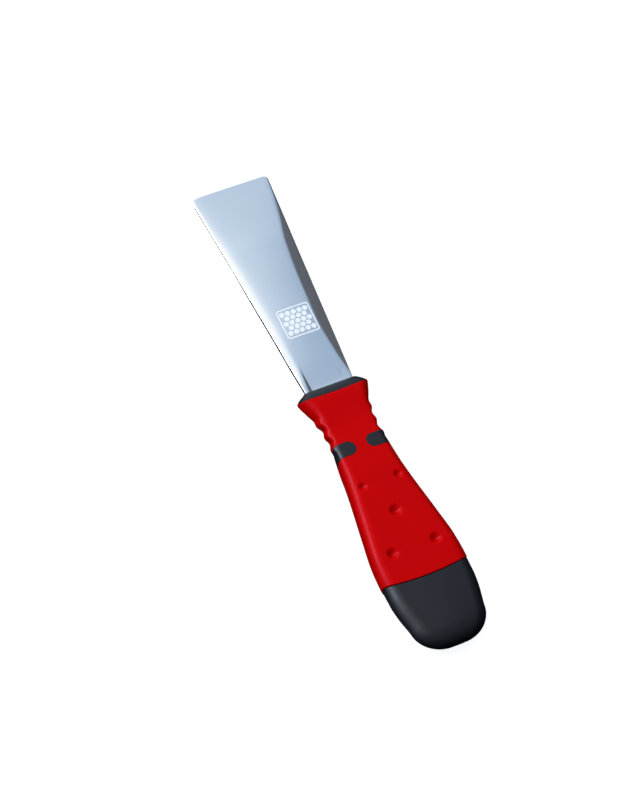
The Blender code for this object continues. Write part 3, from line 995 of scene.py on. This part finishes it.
def etching_material():
    """The pale matte finish of the etched mark."""
    made, tree, shader = new_material("etched_white", (0.74, 0.80, 0.88), 0.6)
    frost = noise(tree, 6000, 2.0)
    tint = blended(tree, frost, (0.80, 0.87, 0.95), (0.92, 0.96, 1.0))
    tree.links.new(tint, shader.inputs["Base Color"])
    tree.links.new(ranged(tree, frost, 0.5, 0.7), shader.inputs["Roughness"])
    bumped(tree, shader, frost, 0.2, 0.02 * MM)
    return made


def rubber_material():
    """Saturated red soft-touch rubber with a fine grain."""
    made, tree, shader = new_material("red_soft_grip", (0.50, 0.0, 0.0), 0.45)
    shader.inputs["Specular IOR Level"].default_value = 0.10
    shader.inputs["Specular Tint"].default_value = (1.0, 0.32, 0.45, 1.0)
    grain = noise(tree, 4200, 2.0)
    cloud = noise(tree, 90, 2.0)
    tint = blended(tree, cloud, (0.50, 0.0002, 0.0002), (0.54, 0.0005, 0.0005))
    tree.links.new(tint, shader.inputs["Base Color"])
    tree.links.new(ranged(tree, grain, 0.24, 0.32), shader.inputs["Roughness"])
    bumped(tree, shader, grain, 0.06, 0.02 * MM)
    return made


def plastic_material(name, colour, roughness):
    """Moulded black plastic with a satin grain."""
    made, tree, shader = new_material(name, colour, roughness)
    shader.inputs["Specular IOR Level"].default_value = 0.36
    grain = noise(tree, 3600, 3.0)
    cloud = noise(tree, 120, 2.0)
    lighter = tuple(c * 1.25 for c in colour)
    tree.links.new(blended(tree, cloud, colour, lighter), shader.inputs["Base Color"])
    tree.links.new(ranged(tree, grain, roughness - 0.06, roughness + 0.08), shader.inputs["Roughness"])
    bumped(tree, shader, grain, 0.15, 0.03 * MM)
    return made


def aluminium_material():
    """Turned aluminium of the hidden rivets."""
    made, tree, shader = new_material("rivet_aluminium", (0.80, 0.80, 0.80), 0.4, 1.0)
    turned = noise(tree, 2500, 2.0)
    tree.links.new(ranged(tree, turned, 0.30, 0.50), shader.inputs["Roughness"])
    bumped(tree, shader, turned, 0.1, 0.02 * MM)
    return made


def dress_cad_nodes(aluminium, plastic):
    """Gives the hidden inner nodes their own finish."""
    for name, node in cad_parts.items():
        if "rivet" in name:
            mat = aluminium
        elif "core" in name:
            mat = plastic
        else:
            continue
        node.data.materials.clear()
        node.data.materials.append(mat)


# Floor, light and camera


def build_floor():
    """A plain white floor that glows evenly. Nothing of it shows on the tool."""
    bm = bmesh.new()
    bmesh.ops.create_grid(bm, x_segments=1, y_segments=1, size=FLOOR_HALF_SIZE)
    floor = add_piece("studio_floor", bm)
    made = bpy.data.materials.new("white_floor")
    made.use_nodes = True
    tree = made.node_tree
    tree.nodes.remove(tree.nodes["Principled BSDF"])
    diffuse = tree.nodes.new("ShaderNodeBsdfDiffuse")
    diffuse.inputs["Color"].default_value = (FLOOR_GREY, FLOOR_GREY, FLOOR_GREY, 1.0)
    glow = tree.nodes.new("ShaderNodeEmission")
    glow.inputs["Strength"].default_value = FLOOR_GLOW
    both = tree.nodes.new("ShaderNodeAddShader")
    tree.links.new(diffuse.outputs["BSDF"], both.inputs[0])
    tree.links.new(glow.outputs["Emission"], both.inputs[1])
    tree.links.new(both.outputs["Shader"], tree.nodes["Material Output"].inputs["Surface"])
    floor.data.materials.append(made)
    floor.visible_diffuse = False
    floor.visible_glossy = False


def build_world():
    """A studio that is bright towards KEY_SIDE, and dark on the other side and below."""
    world = bpy.data.worlds.new("studio")
    world.use_nodes = True
    bpy.context.scene.world = world
    tree = world.node_tree
    place = tree.nodes.new("ShaderNodeTexCoord")
    along = tree.nodes.new("ShaderNodeVectorMath")
    along.operation = "DOT_PRODUCT"
    along.inputs[1].default_value = KEY_SIDE.normalized()
    tree.links.new(place.outputs["Generated"], along.inputs[0])
    share = tree.nodes.new("ShaderNodeMapRange")
    share.inputs["From Min"].default_value = -1.0
    tree.links.new(along.outputs["Value"], share.inputs["Value"])
    ramp = tree.nodes.new("ShaderNodeValToRGB")
    ramp.color_ramp.interpolation = "LINEAR"
    for old in list(ramp.color_ramp.elements)[1:]:
        ramp.color_ramp.elements.remove(old)
    first = ramp.color_ramp.elements[0]
    for i, (at, colour) in enumerate(STUDIO):
        stop = first if i == 0 else ramp.color_ramp.elements.new((at + 1) / 2)
        stop.position = (at + 1) / 2
        stop.color = (*(c / STUDIO_PEAK for c in colour), 1.0)
    tree.links.new(share.outputs["Result"], ramp.inputs["Fac"])
    split = tree.nodes.new("ShaderNodeSeparateXYZ")
    tree.links.new(place.outputs["Generated"], split.inputs["Vector"])
    lift = tree.nodes.new("ShaderNodeMapRange")
    lift.interpolation_type = "SMOOTHSTEP"
    lift.inputs["From Min"].default_value = HORIZON[0]
    lift.inputs["From Max"].default_value = HORIZON[1]
    lift.inputs["To Min"].default_value = BELOW_HORIZON * STUDIO_PEAK
    lift.inputs["To Max"].default_value = STUDIO_PEAK
    tree.links.new(split.outputs["Z"], lift.inputs["Value"])
    shade = tree.nodes["Background"]
    tree.links.new(lift.outputs["Result"], shade.inputs["Strength"])
    tree.links.new(ramp.outputs["Color"], shade.inputs["Color"])


def away_from_tool(azimuth, elevation):
    """The direction at an azimuth from +X towards +Y and an elevation, in radians."""
    flat = math.cos(elevation)
    return Vector((flat * math.cos(azimuth), flat * math.sin(azimuth), math.sin(elevation)))


def add_area(name, azimuth, elevation, distance, size, power, colour=(1.0, 1.0, 1.0)):
    """A softbox that faces the tool, at an azimuth and an elevation in degrees."""
    data = bpy.data.lights.new(name, "AREA")
    data.shape = "RECTANGLE"
    data.size, data.size_y = size
    data.energy = power
    data.color = colour
    light = bpy.data.objects.new(name, data)
    away = away_from_tool(math.radians(azimuth), math.radians(elevation))
    light.location = away * distance
    light.rotation_euler = away.to_track_quat("Z", "Y").to_euler()
    bpy.context.scene.collection.objects.link(light)
    return light


def build_lights():
    """The softboxes: one for the glints and two that fill the shadows."""
    glint = add_area("glint_softbox", *GLINT, GLINT_COLOUR)
    glint.visible_diffuse = False
    for name, placed in FILLS.items():
        fill = add_area(name, *placed)
        fill.visible_glossy = False


def build_camera():
    """The photo's view: a long lens from above the left side, rolled."""
    data = bpy.data.cameras.new("camera")
    data.sensor_fit = "VERTICAL"
    data.sensor_height = SENSOR_HEIGHT
    data.lens = LENS
    data.clip_end = VIEW_END
    camera = bpy.data.objects.new("camera", data)
    away = away_from_tool(VIEW_AZIMUTH, VIEW_ELEVATION)
    aim = away.to_track_quat("Z", "Y").to_matrix() @ Matrix.Rotation(VIEW_ROLL, 3, "Z")
    camera.rotation_euler = aim.to_euler()
    camera.location = VIEW_TARGET + away * VIEW_DISTANCE
    bpy.context.scene.collection.objects.link(camera)
    bpy.context.scene.camera = camera


def main():
    steel = steel_material()
    rubber = rubber_material()
    black = plastic_material("black_plastic", (0.008, 0.009, 0.012), 0.40)
    core = plastic_material("core_plastic", (0.02, 0.02, 0.022), 0.5)
    dress_cad_nodes(aluminium_material(), core)
    build_blade(steel)
    build_mark(etching_material())
    build_sleeve(rubber)
    build_inlays(black)
    build_bolster(black)
    build_pommel(black)
    build_floor()
    build_world()
    build_lights()
    build_camera()
    bpy.context.scene.view_settings.view_transform = "Standard"


main()
